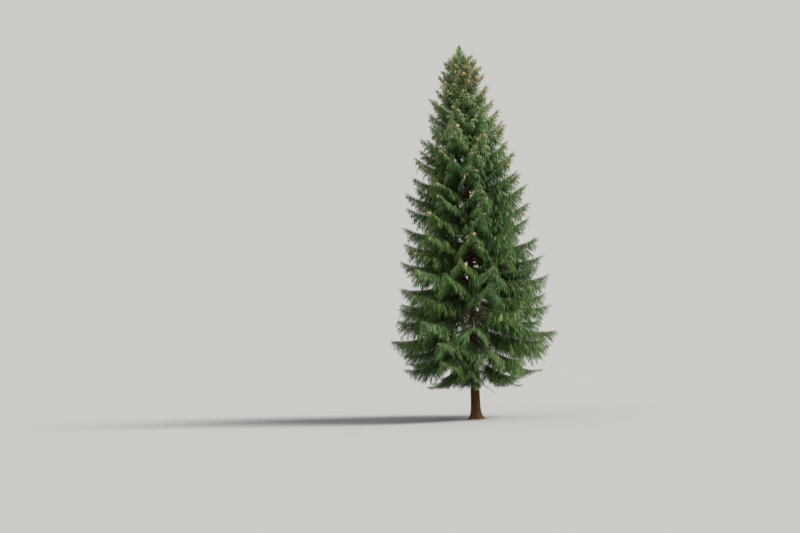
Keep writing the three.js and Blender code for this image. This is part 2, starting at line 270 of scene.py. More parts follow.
mossy = bark.mix(moss.rising(*MOSS_LEVELS) * MOSS_SHARE, plate, GREEN_BARK)
foot = 1 - above_ground.rising(*FOOT_HEIGHTS)
dust = grain.rising(*DUST_LEVELS) * (foot * DUST_AT_FOOT + DUST_ALL_OVER)
dusty = bark.mix(dust, mossy, DUSTY_BARK)
# The cracks between the scales are painted almost black: partly the bark's own darker colour there and
# partly painted shade in them.
bark.show("Base Color", bark.mix(crack * CRACK_DARKNESS, dusty, CRACK))
bark.bump((1 - crack) + grain * GRAIN_RELIEF, **BARK_BUMP)
trunk.data.materials.append(bark.material)

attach(trunk, "root")
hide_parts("trunk")

# The boughs are the limbs of the tree, four to a whorl. Low ones drop under their weight and lift
# again at their tips, high ones climb. The wood swells into a collar where it leaves the trunk.
WHORLS = 44
BOUGHS_PER_WHORL = 4
GOLDEN_TURN = math.pi * (3 - math.sqrt(5))
WHORL_TURN = GOLDEN_TURN - 2 * math.pi / BOUGHS_PER_WHORL
LOWEST_WHORL = 3.0
WHORL_SPAN = 17.6
SPAN_POWER = 1.15
TURN_PLAY = 0.22
ROOT_PLAY = 0.12
CLIMB_PLAY = 0.06
REACH_PLAY = 0.07
CURL = 0.1
REACH = 4.7
WIDEST = 0.72
CONE_POWER = 0.6
TUCK_START = 0.74
TUCK_LENGTH = 0.22
LEAST_TUCK = 0.35
RISE = (-0.38, 0.95)
SAG = (-0.4, -0.05)
LIFT = (0.42, 0.1)
LIMB_THICKNESS = 0.019
STEM_TIP_RADIUS = 0.009
BARE_SHARE = 0.36
LIMB_TIP_SHARE = 0.55
BOUGH_SIDES = 8
BOUGH_CUTS = 13
COLLAR = 0.45
COLLAR_LENGTH = 0.16
BARE_BOUGHS = 12
SLENDER = 0.7
BOUGH_DEPTH = 0.9
BOUGH_END = 0.97
BOUGH_TIP = 0.5
RING_CROWDING = 1.3
SETTLING_ROUNDS = 30
SETTLING_SHARE = 0.4


def stray(a, b, c):
    """A repeatable value from -1 to 1 for three numbers."""
    wave = np.sin(a * 12.9898 + b * 78.233 + c * 37.719) * 43758.5453
    return 2 * (wave - np.floor(wave)) - 1


def chance_of(a, b, c):
    """A repeatable value from 0 to 1 for three numbers."""
    return 0.5 + 0.5 * stray(a, b, c)


def between(ends, share):
    return ends[0] + (ends[1] - ends[0]) * share


def crown_radius(z):
    """How far the crown reaches from the trunk at a height: a full cone that tucks in at its hem."""
    below = 1 - z / TREE_HEIGHT
    cone = np.clip(below / WIDEST, 0, 1) ** CONE_POWER
    tuck = np.maximum(0, below - TUCK_START) / TUCK_LENGTH
    return REACH * cone * np.maximum(LEAST_TUCK, np.sqrt(np.maximum(0, 1 - tuck * tuck)))


def unit_vectors(vectors):
    return vectors / np.linalg.norm(vectors, axis=-1, keepdims=True)


UP = np.array([0.0, 0.0, 1.0])
whorl, number = np.divmod(np.arange(WHORLS * BOUGHS_PER_WHORL), BOUGHS_PER_WHORL)
azimuth = whorl * WHORL_TURN + number * 2 * np.pi / BOUGHS_PER_WHORL + TURN_PLAY * stray(whorl, number, 1)
outward = np.stack([np.cos(azimuth), np.sin(azimuth), 0 * azimuth], axis=1)
sideways = np.stack([-np.sin(azimuth), np.cos(azimuth), 0 * azimuth], axis=1)
climbed = 1 - (1 - whorl / WHORLS) ** SPAN_POWER
root_height = LOWEST_WHORL + WHORL_SPAN * climbed + ROOT_PLAY * stray(whorl, number, 2)
share_up = (root_height - LOWEST_WHORL) / WHORL_SPAN
rise = between(RISE, share_up) + CLIMB_PLAY * stray(whorl, number, 3)
sag = between(SAG, share_up)
lift = between(LIFT, share_up)
curl = CURL * stray(whorl, number, 4)
reach = np.full(len(whorl), REACH)
for _ in range(SETTLING_ROUNDS):
    reach += SETTLING_SHARE * (crown_radius(root_height + reach * (rise + sag + lift)) - reach)
reach *= 1 + REACH_PLAY * stray(whorl, number, 5)


def bough_point(bough, t):
    """Where a bough's line is, from the trunk's axis, at 0, to its tip, at 1."""
    climb = rise[bough] * t + sag[bough] * t**2 + lift[bough] * t**3
    level = outward[bough] * t[..., None] + sideways[bough] * (curl[bough] * t**2)[..., None]
    point = reach[bough][..., None] * (level + UP * climb[..., None])
    point[..., 0] += trunk_bow(root_height[bough])
    point[..., 2] += root_height[bough]
    return point


def bough_axes(bough, t):
    """The directions along a bough, level across it and upwards from it."""
    climb = rise[bough] + 2 * sag[bough] * t + 3 * lift[bough] * t**2
    level = outward[bough] + sideways[bough] * (2 * curl[bough] * t)[..., None]
    along = unit_vectors(level + UP * climb[..., None])
    across = unit_vectors(np.cross(UP, along))
    return along, across, np.cross(along, across)


def bough_radius(bough, t):
    root = LIMB_THICKNESS * reach[bough] + STEM_TIP_RADIUS
    inner = root * between((1, LIMB_TIP_SHARE), t / BARE_SHARE)
    outer_share = (t - BARE_SHARE) / (1 - BARE_SHARE)
    outer = root * LIMB_TIP_SHARE * (1 - outer_share) + BOUGH_TIP * STEM_TIP_RADIUS * outer_share
    return np.where(t < BARE_SHARE, inner, outer)


def copies(name, finish, *batches):
    """One mesh of many copies of one pattern or more, with the corners given copy by copy."""
    points, indices, sizes = [], [], []
    used = 0
    for pattern, corners in batches:
        faces = [list(face.vertices) for face in pattern.data.polygons]
        count, each = corners.shape[:2]
        starts = used + each * np.arange(count)[:, None]
        points.append(corners.reshape(-1, 3))
        indices.append((starts + np.concatenate(faces)).ravel())
        sizes.append(np.tile([len(face) for face in faces], count))
        used += count * each
    indices = np.concatenate(indices)
    sizes = np.concatenate(sizes)
    mesh = bpy.data.meshes.new(name)
    mesh.vertices.add(used)
    mesh.vertices.foreach_set("co", np.ravel(np.concatenate(points)))
    mesh.loops.add(len(indices))
    mesh.loops.foreach_set("vertex_index", indices)
    mesh.polygons.add(len(sizes))
    mesh.polygons.foreach_set("loop_start", np.cumsum(sizes) - sizes)
    mesh.update(calc_edges=True)
    mesh.materials.append(finish.material)
    piece = bpy.data.objects.new(name, mesh)
    bpy.context.scene.collection.objects.link(piece)
    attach(piece, "root")
    return piece


def bent_rods(pattern, points, across, over, radii):
    """Corners of copies of a rod, each laid along its own line and as thick as its radii."""
    unit = corners_of(pattern)
    shares = np.unique(np.round(unit[:, 2], 4))
    step = np.searchsorted(shares, np.round(unit[:, 2], 4))
    x = unit[:, 0][:, None] * radii[:, step][..., None] * across[:, step]
    y = unit[:, 1][:, None] * radii[:, step][..., None] * over[:, step]
    return points[:, step] + x + y


all_boughs = np.arange(len(whorl))
bough_rod = rod("bough_rod", BOUGH_SIDES, BOUGH_CUTS)
ring_share = np.unique(np.round(corners_of(bough_rod)[:, 2], 4)) ** RING_CROWDING
bough_grid = np.repeat(all_boughs[:, None], len(ring_share), axis=1)
start = BOUGH_DEPTH * trunk_radius(root_height) / reach
bough_t = start[:, None] + (BOUGH_END - start[:, None]) * ring_share
_, bough_side, bough_over = bough_axes(bough_grid, bough_t)
bough_line = bough_point(bough_grid, bough_t)
bough_thick = bough_radius(bough_grid, bough_t)
from_trunk = (bough_t - start[:, None]) * reach[:, None]
bough_thick *= 1 + COLLAR * np.exp(-from_trunk / COLLAR_LENGTH)
bough_thick *= np.where((number == 0) & (whorl < BARE_BOUGHS), 1, SLENDER)[:, None]
bough_corners = bent_rods(bough_rod, bough_line, bough_side, bough_over, bough_thick)

DARK_BARK = (0.095, 0.066, 0.030, 1)
PALE_BARK = (0.210, 0.150, 0.075, 1)
LICHEN = (0.25, 0.26, 0.14, 1)
KNOTS = {"scale": 34, "detail": 4}
KNOT_LEVELS = (0.35, 0.68)
FINE_GRAIN = {"scale": 120, "detail": 3}
FINE_RELIEF = 0.4
LICHEN_PATCHES = {"scale": 9, "detail": 4}
LICHEN_LEVELS = (0.5, 0.65)
LICHEN_SHARE = 0.7
BOUGH_BUMP = {"distance": 0.004, "strength": 0.7}

wood = Finish("bough_bark", roughness=0.9)
knots = wood.blotches(**KNOTS)
lichen = wood.blotches(**LICHEN_PATCHES)
brown_wood = wood.mix(knots.rising(*KNOT_LEVELS), DARK_BARK, PALE_BARK)
wood.show("Base Color", wood.mix(lichen.rising(*LICHEN_LEVELS) * LICHEN_SHARE, brown_wood, LICHEN))
wood.bump(knots + wood.blotches(**FINE_GRAIN) * FINE_RELIEF, **BOUGH_BUMP)

boughs = copies("bough_wood", wood, (bough_rod, bough_corners))
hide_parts(*[f"bough_{i + 1}" for i in range(BARE_BOUGHS)])

# Side branches leave each bough to its left and right. Low in the crown they lean out and hang, near
# the top they rise, and towards the bough's tip they get shorter. Their bark is thin and brown.
CROWN_PARTS = (0, 0.35, 0.7, 0.86, 1)
LIVE_SHARE = (0.28, 0.07)
LIVE_POWER = 0.6
LEAST_PAIRS = 4
SIDE_SPACING = (0.13, 0.13, 0.12, 0.11, 0.09)
SIDES_UP_TO = 0.98
SIDE_END = 0.985
SIDE_CROWDING = 0.75
SIDE_LENGTH = 0.30
SIDE_LENGTH_BY_REACH = 0.19
SIDE_LENGTH_PLAY = 0.22
SIDE_PLACE_PLAY = 0.4
SWELL_PLACES = (0, 0.25, 0.5, 0.8, 1)
SWELL = (0.7, 1, 0.9, 0.45, 0.12)
SIDE_LEAN = (1.2, 0.6)
SIDE_LEAN_PLAY = 0.16
SIDE_TILT = (-0.26, -0.28, -0.28, -0.05, 0.45)
SIDE_TILT_PLAY = 0.25
SIDE_SAG = (-0.34, -0.40, -0.36, -0.10, 0.25)
SIDE_SAG_PLAY = 0.4
SIDE_RADIUS = 0.0075
SHORT_SIDE_SHARE = 0.5
TWIG_TAPER = (1.25, 0.25)
SIDE_SIDES = 3
HEM_HEIGHT = 1.75
HEM_RISE = 0.0045
HEM_PLAY = 0.14
WAVES_ROUND_TREE = ((1.0, 5, 1), (0.6, 11, 2))
OUTLINE_SIZE = 1.22
OUTLINE_PLAY = 0.02
FARTHEST = 4.93
TIP_WIDTH = 0.12
TIP_SLOPE = 0.4
TIP_SPREAD = 0.22
BARK_GAP = 0.03
GROWTH_STEPS = 8
LEADER_FOOT = 19.4
TRUNK_GAPS = ((0, 0.24, 12.3, 1.6), (0, 0.26, 9.1, 0.7), (0, 0.26, 5.0, 0.8), (0.45, 0.45, 5.8, 0.5))
GAP_OPENNESS = 0.75


class Twigs:
    """Many thin twigs. Each leaves its root in its own direction, and its tip hangs or lifts."""

    def __init__(self, root, direction, length, sag):
        self.root = root
        self.direction = direction
        self.length = length
        self.sag = sag

    def point(self, twig, s):
        """Where a twig is, from its root, at 0, to its tip, at 1."""
        line = self.direction[twig] * s[..., None] + UP * (self.sag[twig] * s**2)[..., None]
        return self.root[twig] + self.length[twig][..., None] * line

    def axes(self, twig, s):
        """The directions along a twig, level across it and upwards from it."""
        along = unit_vectors(self.direction[twig] + UP * (2 * self.sag[twig] * s)[..., None])
        across = unit_vectors(np.cross(UP, along))
        return along, across, np.cross(along, across)

    def rods(self, pattern, radius, grown=1.0):
        """The corners of a rod of three rings that lies along the grown share of each twig."""
        count = len(self.length)
        twig = np.repeat(np.arange(count)[:, None], 3, axis=1)
        s = np.outer(np.full(count, grown), [0.0, 0.5, 1.0])
        _, across, over = self.axes(twig, s)
        thick = radius[:, None] * np.linspace(*TWIG_TAPER, 3)
        return bent_rods(pattern, self.point(twig, s), across, over, thick)


def hem_height(off):
    """How low the crown hangs at a distance from the trunk."""
    return HEM_HEIGHT + HEM_RISE * off**4


def stays_inside(corners, slack=0.0):
    """Which copies lie in the crown: inside its outline, above its hem and clear of the trunk. With
    slack they may stand out of it that far, and hang twice as far below its hem."""
    slack = np.reshape(slack, (-1, 1))
    height = corners[..., 2]
    x = corners[..., 0] - trunk_bow(height)
    off = np.hypot(x, corners[..., 1])
    turn = np.arctan2(corners[..., 1], x)
    play = sum(size * np.sin(many * turn + start) for size, many, start in WAVES_ROUND_TREE)
    play = play + stray(np.arange(len(corners)), 1, 61)[:, None]
    above_hem = height > hem_height(off) + HEM_PLAY * play - 2 * slack
    below_tip = TREE_HEIGHT - height
    tip_radius = TIP_WIDTH + TIP_SLOPE * below_tip + TIP_SPREAD * below_tip**2
    outline = np.minimum(crown_radius(height), tip_radius)
    in_outline = off < np.minimum(FARTHEST, (OUTLINE_SIZE - OUTLINE_PLAY * play) * outline + slack)
    off_trunk = (off > trunk_radius(height) + BARK_GAP) | (height > LEADER_FOOT)
    return (above_hem & in_outline & off_trunk).all(axis=1)


def shows_trunk(corners):
    """Which copies would hide the trunk where it shows through the crown, but for a few that may."""
    x, y, z = corners.mean(axis=1).T
    x = x - trunk_bow(z)
    gaps = [
        ((x - middle) / half) ** 2 + ((z - height) / half_height) ** 2 < 1
        for middle, half, height, half_height in TRUNK_GAPS]
    return np.any(gaps, axis=0) & (y < 0) & (stray(np.arange(len(x)), 2, 62) < GAP_OPENNESS)


def rows(counts):
    """For rows that hold so many things each: the row of each thing, its number, and the row's count."""
    row = np.repeat(np.arange(len(counts)), counts)
    return row, np.concatenate([np.arange(count) for count in counts]), np.repeat(counts, counts)


def either_side(nth):
    """1 and -1 in turn, for twigs that leave to the left and to the right."""
    return np.where(nth % 2 == 0, 1, -1)


def by_height(bough, values):
    """The value at a bough, of those for the parts of the crown."""
    return np.interp(share_up[bough], CROWN_PARTS, values)


def pointing(along, across, turn, upwards, tilt):
    """Directions turned away from along to one side, and then lifted."""
    level = along * np.cos(turn)[:, None] + across * np.sin(turn)[:, None]
    return unit_vectors(level + upwards * tilt[:, None])


live_share = between(LIVE_SHARE, np.clip(share_up, 0, 1) ** LIVE_POWER)
pairs = (SIDES_UP_TO - live_share) * reach / by_height(all_boughs, SIDE_SPACING)
parent, order, many = rows(2 * np.maximum(LEAST_PAIRS, pairs.astype(int)))
place = (order + 0.5 + SIDE_PLACE_PLAY * stray(parent, order, 11)) / many
side_t = live_share[parent] + (SIDE_END - live_share[parent]) * place**SIDE_CROWDING
side_length = SIDE_LENGTH + SIDE_LENGTH_BY_REACH * reach[parent]
side_length *= np.interp(place, SWELL_PLACES, SWELL)
side_length *= 1 + SIDE_LENGTH_PLAY * stray(parent, order, 12)
lean = between(SIDE_LEAN, side_t) + SIDE_LEAN_PLAY * stray(parent, order, 13)
tilt = by_height(parent, SIDE_TILT) + SIDE_TILT_PLAY * stray(parent, order, 14)
side_sag = by_height(parent, SIDE_SAG) * (1 + SIDE_SAG_PLAY * stray(parent, order, 15))
along, across, _ = bough_axes(parent, side_t)
sides = Twigs(
    bough_point(parent, side_t), pointing(along, across, either_side(order) * lean, UP, tilt),
    side_length, side_sag)

DARK_TWIG = (0.045, 0.030, 0.017, 1)
PALE_TWIG = (0.11, 0.075, 0.042, 1)
TWIG_TONES = {"scale": 14, "detail": 2}
TWIG_LEVELS = (0.35, 0.65)
twig_wood = Finish("twig_bark", roughness=0.85)
twig_tone = twig_wood.blotches(**TWIG_TONES).rising(*TWIG_LEVELS)
twig_wood.show("Base Color", twig_wood.mix(twig_tone, DARK_TWIG, PALE_TWIG))

side_grid = np.repeat(np.arange(len(parent))[:, None], GROWTH_STEPS, axis=1)
side_steps = np.tile(np.arange(1, GROWTH_STEPS + 1) / GROWTH_STEPS, (len(parent), 1))
side_points = sides.point(side_grid, side_steps)
inside = stays_inside(side_points.reshape(-1, 1, 3)).reshape(side_grid.shape)
grown = np.cumprod(inside, axis=1).sum(axis=1) / GROWTH_STEPS

side_rod = rod("side_rod", SIDE_SIDES, 1)
side_radius = SIDE_RADIUS * between((SHORT_SIDE_SHARE, 1), side_length)
side_corners = sides.rods(side_rod, side_radius, grown)
kept = (grown > 0) & ~shows_trunk(side_corners)
side_branches = copies("side_branches", twig_wood, (side_rod, side_corners[kept]))

# Needles stand all round the green shoots, so that each looks like a bottle brush. Strands of them
# hang from the side branches like a fringe, shorter ones line the boughs, and tufts rise in the top.
SPRAY_WIDTHS = (0.5, 1, 0)
TEETH_PLACES = (0.10, 0.84)
TOOTH_WIDTH = 0.8
TOOTH_SHORTENING = 0.4
TOOTH_LENGTH_PLAY = 0.15
TOOTH_TURN_LOSS = 0.2
TOOTH_PITCH = 0.4
STRAND_DROP = 0.85
LEAST_STRAND = 0.14
LEAST_IN_ROW = 6
BOUGH_SLACK = 0.3


def tooth(length, width, place, turn, pitch):
    """One side shoot, as a pointed blade of one face."""
    bpy.ops.object.select_all(action="DESELECT")
    bpy.ops.mesh.primitive_circle_add(vertices=3, radius=1, fill_type="NGON")
    blade = bpy.context.object
    set_corners(blade, [(0, -0.5, 0), (1, 0, 0), (0, 0.5, 0)])
    blade.scale = (length, width, 1)
    blade.rotation_euler = (0, pitch, turn)
    blade.location = place
    return blade


def spray_pattern(name, width, teeth, longest, splay, bend):
    """A spray that is 1 long: its main shoot with side shoots like teeth, bent down from its root."""
    bpy.ops.object.select_all(action="DESELECT")
    bpy.ops.mesh.primitive_grid_add(x_subdivisions=2, y_subdivisions=1, size=1)
    main = bpy.context.object
    corners = corners_of(main)
    share = corners[:, 0] + 0.5
    corners[:, 0] = share
    corners[:, 1] *= width * np.interp(share, (0, 0.5, 1), SPRAY_WIDTHS)
    set_corners(main, corners)
    blades = [main]
    for i in range(teeth):
        share = i / (teeth - 1)
        length = longest * (1 - TOOTH_SHORTENING * share) * (1 + TOOTH_LENGTH_PLAY * math.sin(7.0 * i))
        turn = (splay - TOOTH_TURN_LOSS * share) * (1 if i % 2 == 0 else -1)
        place = (between(TEETH_PLACES, share), 0, 0)
        blades.append(tooth(length, TOOTH_WIDTH * width, place, turn, TOOTH_PITCH * math.sin(2.4 * i)))
    bpy.ops.object.select_all(action="DESELECT")
    for blade in blades:
        blade.select_set(True)
    bpy.context.view_layer.objects.active = main
    bpy.ops.object.join()
    bpy.ops.object.transform_apply(location=True, rotation=True, scale=True)
    bpy.ops.object.mode_set(mode="EDIT")
    bpy.ops.mesh.select_all(action="SELECT")
    bpy.ops.mesh.remove_doubles(threshold=1e-4)
    bpy.ops.mesh.quads_convert_to_tris(quad_method="FIXED")
    bpy.ops.object.mode_set(mode="OBJECT")
    corners = corners_of(main)
    angle = bend * np.clip(corners[:, 0], 0, 1)
    x = np.sin(angle) / bend + corners[:, 2] * np.sin(angle)
    z = (np.cos(angle) - 1) / bend + corners[:, 2] * np.cos(angle)
    set_corners(main, np.stack([x, corners[:, 1], z], axis=1))
    main.name = name
    return main


hanging = spray_pattern("hanging_strand", width=0.10, teeth=6, longest=0.22, splay=0.6, bend=0.6)
fan = spray_pattern("flat_spray", width=0.09, teeth=10, longest=0.27, splay=0.75, bend=0.3)
tuft = spray_pattern("rising_tuft", width=0.09, teeth=8, longest=0.26, splay=0.65, bend=-0.3)
HANGING, FAN, TUFT = range(3)
patterns = (hanging, fan, tuft)
planted = []


def plant(root, direction, roll, length, kind, glow, hue, slack=0.0):
    """Keeps sprays for later: where they start and point, their roll and size, and their colour.
    The slack is how far they may stand out of the crown."""
    across = unit_vectors(np.cross(UP, direction))
    over = np.cross(direction, across)
    turned = across * np.cos(roll)[:, None] + over * np.sin(roll)[:, None]
    lifted = over * np.cos(roll)[:, None] - across * np.sin(roll)[:, None]
    size = length[:, None]
    room_outside = np.full(len(root), slack)
    planted.append((root, direction * size, turned * size, lifted * size, kind, glow, hue, room_outside))


def outerness(point):
    """How far out in the crown a point is, from 0 at the trunk to 1 at the outline."""
    return np.hypot(point[:, 0] - trunk_bow(point[:, 2]), point[:, 1]) / crown_radius(point[:, 2])


def shortened(length, root):
    """Lengths of strands, cut where they would hang below the hem."""
    room = (root[:, 2] - hem_height(np.hypot(root[:, 0], root[:, 1]))) / STRAND_DROP
    return np.minimum(length, np.maximum(LEAST_STRAND, room))


def along_boughs(spacing, end):
    """A row of sprays along the live part of each bough: its bough, its number and its place."""
    bough, nth, many = rows(np.maximum(LEAST_IN_ROW, ((1 - live_share) * reach / spacing).astype(int)))
    return bough, nth, live_share[bough] + (end - live_share[bough]) * (nth + 0.5) / many


def shared_out(carriers, count):
    """So many things on each carrier: the carrier of each thing, and its number there."""
    return np.repeat(carriers, count), np.tile(np.arange(count), len(carriers))


# Strands on the side branches
STRAND_SPACING = (0.038, 0.038, 0.038, 0.040, 0.040)
LEAST_STRANDS = 2
STRAND_PLACE = 0.6
STRAND_PLACE_PLAY = 0.3
FIRST_STRAND = 0.05
STRAND_LEAN = 0.95
STRAND_LEAN_PLAY = 0.4
STRAIGHT_AHEAD_FROM = 0.97
STRAND_TILT = (-0.9, -1.1, -1.1, -0.5, 0.60)
STRAND_TILT_PLAY = 0.45
STRAND_ROLL = 0.9
STRAND_LENGTH = (0.34, 0.38, 0.38, 0.34, 0.26)
STRAND_LENGTH_PLAY = 0.3
STRAND_TAPER = (1.0, 0.8)
SHORTENING_PLACES = (0, 0.5, 0.8, 1)
STRAND_SHORTENING = (1.15, 1.05, 0.7, 0.3)
TUFTS_FROM = 0.86
TUFTS_PLAY = 0.08
STRAND_GLOW = 0.9
STRAND_GLOW_PLAY = 0.12
BOUGH_GLOW_PLAY = 0.12
SIDE_GLOW_PLAY = 0.2
TOP_GLOW_FROM = 0.58
TOP_GLOW = 2.2
SIDE_HUE_PLAY = 0.3

spacing = by_height(parent, STRAND_SPACING)
carrier, nth, many = rows(np.maximum(LEAST_STRANDS, (side_length / spacing).astype(int)))
s = np.clip((nth + STRAND_PLACE + STRAND_PLACE_PLAY * stray(carrier, nth, 21)) / many, FIRST_STRAND, 1)
attached = s <= grown[carrier]
carrier, nth, s = carrier[attached], nth[attached], s[attached]
bough = parent[carrier]
along, across, _ = sides.axes(carrier, s)
lean = either_side(nth + carrier) * (STRAND_LEAN + STRAND_LEAN_PLAY * stray(carrier, nth, 22))
lean *= s < STRAIGHT_AHEAD_FROM
tilt = by_height(bough, STRAND_TILT) + STRAND_TILT_PLAY * stray(carrier, nth, 23)
length = by_height(bough, STRAND_LENGTH) * (1 + STRAND_LENGTH_PLAY * stray(carrier, nth, 25))
length *= between(STRAND_TAPER, s) * np.interp(side_t[carrier], SHORTENING_PLACES, STRAND_SHORTENING)
high = share_up[bough] + TUFTS_PLAY * stray(carrier, nth, 26)
root = sides.point(carrier, s)
# Strands farther out are dealt lighter colours, partly for younger needles and partly as painted light;
# inner ones get darker colours, partly as painted shade.
strand_glow = STRAND_GLOW * outerness(root) + STRAND_GLOW_PLAY * stray(carrier, nth, 27)
strand_glow += BOUGH_GLOW_PLAY * stray(bough, 3, 28)
strand_glow += SIDE_GLOW_PLAY * stray(carrier, 5, 47)
# Painted light and haze: high in the crown the strands are dealt lighter colours, besides their younger
# needles.
strand_glow += TOP_GLOW * np.maximum(0, share_up[bough] - TOP_GLOW_FROM)
bough_hue = stray(all_boughs, 4, 29)
plant(
    root, pointing(along, across, lean, UP, tilt), STRAND_ROLL * stray(carrier, nth, 24),
    shortened(length, root), np.where(high < TUFTS_FROM, HANGING, TUFT),
    strand_glow, bough_hue[bough] + SIDE_HUE_PLAY * stray(carrier, 6, 30))

# Flat sprays on the upper side of the boughs
FRINGE_SPACING = 0.06
FRINGE_END = 0.99
FRINGE_HEIGHT = 0.02
FRINGE_TURN = (1.0, 0.6)
FRINGE_TURN_PLAY = 0.3
FRINGE_TILT = 0.45
FRINGE_TILT_PLAY = 0.4
FRINGE_ROLL = 0.5
FRINGE_LENGTH = 0.17
FRINGE_LENGTH_PLAY = 0.25
# The sprays on the upper sides of the boughs are dealt lighter colours, more so towards the tips: partly
# younger shoots and partly painted light from above.
FRINGE_GLOW = 0.35
FRINGE_GLOW_RISE = 1.1
FRINGE_GLOW_PLAY = 0.25

bough, nth, t = along_boughs(FRINGE_SPACING, FRINGE_END)
along, across, over = bough_axes(bough, t)
turn = between(FRINGE_TURN, t) * either_side(nth) + FRINGE_TURN_PLAY * stray(bough, nth, 31)
tilt = FRINGE_TILT + FRINGE_TILT_PLAY * stray(bough, nth, 32)
plant(
    bough_point(bough, t) + FRINGE_HEIGHT * over, pointing(along, across, turn, over, tilt),
    FRINGE_ROLL * stray(bough, nth, 33),
    FRINGE_LENGTH * (1 + FRINGE_LENGTH_PLAY * stray(bough, nth, 34)), np.full(len(bough), FAN),
    FRINGE_GLOW_RISE * t + FRINGE_GLOW + FRINGE_GLOW_PLAY * stray(bough, nth, 35),
    bough_hue[bough], BOUGH_SLACK)

# Strands that hang from the boughs themselves, like the teeth of a comb
COMB_SPACING = 0.035
COMB_END = 0.97
COMB_TURN = 1.3
COMB_TURN_PLAY = 0.3
COMB_TILT_PLAY = 0.25
COMB_SHORTENING = (1.3, 1.2, 0.8, 0.3)
# Painted shade: the strands that hang under the boughs are dealt darker colours, darkest near the trunk,
# so that the layers of the crown look shaded between them.
COMB_GLOW = -0.25
COMB_GLOW_RISE = 0.8
COMB_GLOW_PLAY = 0.15
COMB_HUE_PLAY = 0.2

bough, nth, t = along_boughs(COMB_SPACING, COMB_END)
along, across, _ = bough_axes(bough, t)
turn = COMB_TURN * either_side(nth) + COMB_TURN_PLAY * stray(bough, nth, 81)
tilt = by_height(bough, STRAND_TILT) + COMB_TILT_PLAY * stray(bough, nth, 82)
length = by_height(bough, STRAND_LENGTH) * (1 + STRAND_LENGTH_PLAY * stray(bough, nth, 83))
length *= np.interp(t, SHORTENING_PLACES, COMB_SHORTENING)
root = bough_point(bough, t)
plant(
    root, pointing(along, across, turn, UP, tilt), STRAND_ROLL * stray(bough, nth, 84),
    shortened(length, root), np.where(share_up[bough] < TUFTS_FROM, HANGING, TUFT),
    COMB_GLOW_RISE * outerness(root) + COMB_GLOW + COMB_GLOW_PLAY * stray(bough, nth, 85),
    bough_hue[bough] + COMB_HUE_PLAY * stray(bough, nth, 86), BOUGH_SLACK)

# Sprays round the tips of the boughs, the last one straight ahead
TIP_SPRAYS = 7
TIP_START = 0.86
TIP_SPAN = 0.13
TIP_TURN = 0.45
TIP_TILT_PLAY = 0.25
TIP_ROLL = 0.7
TIP_LENGTH = 0.22
TIP_LENGTH_BY_REACH = 0.03
# The sprays round the bough tips are dealt light colours: partly new growth and partly painted light.
TIP_GLOW = 1.2
TIP_GLOW_PLAY = 0.3

bough, nth = shared_out(all_boughs, TIP_SPRAYS)
t = TIP_START + TIP_SPAN * (nth + 0.5) / TIP_SPRAYS
along, across, over = bough_axes(bough, t)
turn = np.where(nth == TIP_SPRAYS - 1, 0, TIP_TURN * either_side(nth))
tilt = TIP_TILT_PLAY * stray(bough, nth, 36)
plant(
    bough_point(bough, t), pointing(along, across, turn, over, tilt),
    TIP_ROLL * stray(bough, nth, 37),
    TIP_LENGTH + TIP_LENGTH_BY_REACH * reach[bough], np.full(len(bough), FAN),
    TIP_GLOW + TIP_GLOW_PLAY * stray(bough, nth, 38), bough_hue[bough], BOUGH_SLACK)

# Shoots in circles round the leading shoot
LEADER_SPRAYS = 400
LEADER_CIRCLES = 10
LEADER_PLACE_PLAY = 0.03
SHOOTS_IN_CIRCLE = 5
CIRCLE_TURN = 0.7
LEADER_TURN_PLAY = 0.28
LEADER_CLIMB = (0.20, 1.35)
LEADER_CLIMB_PLAY = 0.2
LEADER_LENGTH = (0.78, 0.24)
LEADER_LENGTH_SHARE = 0.85
LEADER_LENGTH_PLAY = 0.2
LEADER_ROLL = 1.2
# The tufts round the leading shoot are dealt the lightest colours: partly young needles and partly
# painted light and haze at the top of the tree.
LEADER_GLOW = 1.6
LEADER_GLOW_PLAY = 0.4

nth = np.arange(LEADER_SPRAYS)
circle = nth * LEADER_CIRCLES // LEADER_SPRAYS
share = np.clip(circle / (LEADER_CIRCLES - 1) + LEADER_PLACE_PLAY * stray(nth, 4, 44), 0, 1)
height = LEADER_FOOT + (TREE_HEIGHT - LEADER_LENGTH[1] - LEADER_FOOT) * share
turn = 2 * np.pi * (nth % SHOOTS_IN_CIRCLE) / SHOOTS_IN_CIRCLE + CIRCLE_TURN * circle
turn += LEADER_TURN_PLAY * stray(nth, 5, 45)
climb = between(LEADER_CLIMB, share**2) + LEADER_CLIMB_PLAY * stray(nth, 1, 41)
length = between(LEADER_LENGTH, share**4)
length *= LEADER_LENGTH_SHARE + LEADER_LENGTH_PLAY * stray(nth, 6, 46)
plant(
    round_trunk(turn, 0, height),
    np.stack([np.cos(turn) * np.cos(climb), np.sin(turn) * np.cos(climb), np.sin(climb)], axis=1),
    LEADER_ROLL * stray(nth, 2, 42), length, np.full(LEADER_SPRAYS, TUFT),
    LEADER_GLOW + LEADER_GLOW_PLAY * stray(nth, 3, 43), np.ones(LEADER_SPRAYS))

root, ahead, turned, lifted, kind, glow, hue, slack = (
    np.concatenate(column) for column in zip(*planted))

